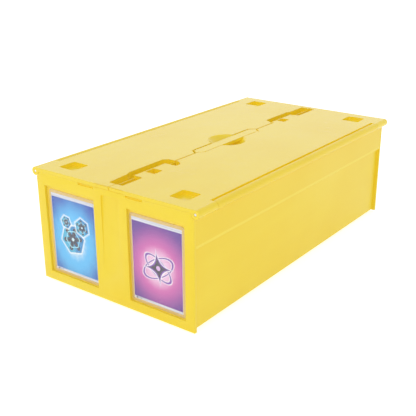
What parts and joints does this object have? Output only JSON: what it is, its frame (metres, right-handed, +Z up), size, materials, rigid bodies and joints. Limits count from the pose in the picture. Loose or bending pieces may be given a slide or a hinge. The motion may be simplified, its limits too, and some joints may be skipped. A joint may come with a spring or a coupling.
{
  "type": "trading card storage box",
  "caption": "Long yellow plastic box for trading cards: rows under interlocking hinged lids, a display card behind each front window, sliding partitions inside.",
  "frame": {"origin": "middle of the footprint, in the plane of the stacking feet's undersides", "axes": "+X across the two rows towards the right lid, +Y from the windowed front panel to the back panel, +Z up"},
  "size_m": [0.205, 0.3714, 0.1195],
  "materials": {
    "yellow_plastic": "satin injection-moulded plastic",
    "steel_pin": "plain drawn wire",
    "clear_plastic": "clear polished sheet",
    "blue_card": null,
    "purple_card": null
  },
  "bodies": {
    "box": {"tub": "yellow_plastic", "front_panel": "yellow_plastic", "back_panel": "yellow_plastic", "centre_divider": "yellow_plastic", "left_card_backing": "yellow_plastic", "right_card_backing": "yellow_plastic", "left_window_pane": "clear_plastic", "right_window_pane": "clear_plastic", "left_display_card": "blue_card", "right_display_card": "purple_card", "left_hinge_pin": "steel_pin", "right_hinge_pin": "steel_pin"},
    "left_lid": {"left_lid": "yellow_plastic"},
    "right_lid": {"right_lid": "yellow_plastic"},
    "left_front_partition": {"left_front_partition": "yellow_plastic"},
    "left_rear_partition": {"left_rear_partition": "yellow_plastic"},
    "right_front_partition": {"right_front_partition": "yellow_plastic"},
    "right_rear_partition": {"right_rear_partition": "yellow_plastic"}
  },
  "joints": [
    {"name": "left_lid_hinge", "type": "hinge", "parent": "box", "child": "left_lid", "pos_m": [-0.0983, 0, 0.1153], "axis": [0, -1, 0], "range_deg": [0, 215]},
    {"name": "right_lid_hinge", "type": "hinge", "parent": "box", "child": "right_lid", "pos_m": [0.0983, 0, 0.1153], "axis": [0, 1, 0], "range_deg": [0, 215]},
    {"name": "left_front_partition_slide", "type": "slide", "parent": "box", "child": "left_front_partition", "axis": [0, 1, 0], "range_m": [-0.096, 0.08]},
    {"name": "left_rear_partition_slide", "type": "slide", "parent": "box", "child": "left_rear_partition", "axis": [0, 1, 0], "range_m": [-0.08, 0.096]},
    {"name": "right_front_partition_slide", "type": "slide", "parent": "box", "child": "right_front_partition", "axis": [0, 1, 0], "range_m": [-0.096, 0.08]},
    {"name": "right_rear_partition_slide", "type": "slide", "parent": "box", "child": "right_rear_partition", "axis": [0, 1, 0], "range_m": [-0.08, 0.096]}
  ]
}
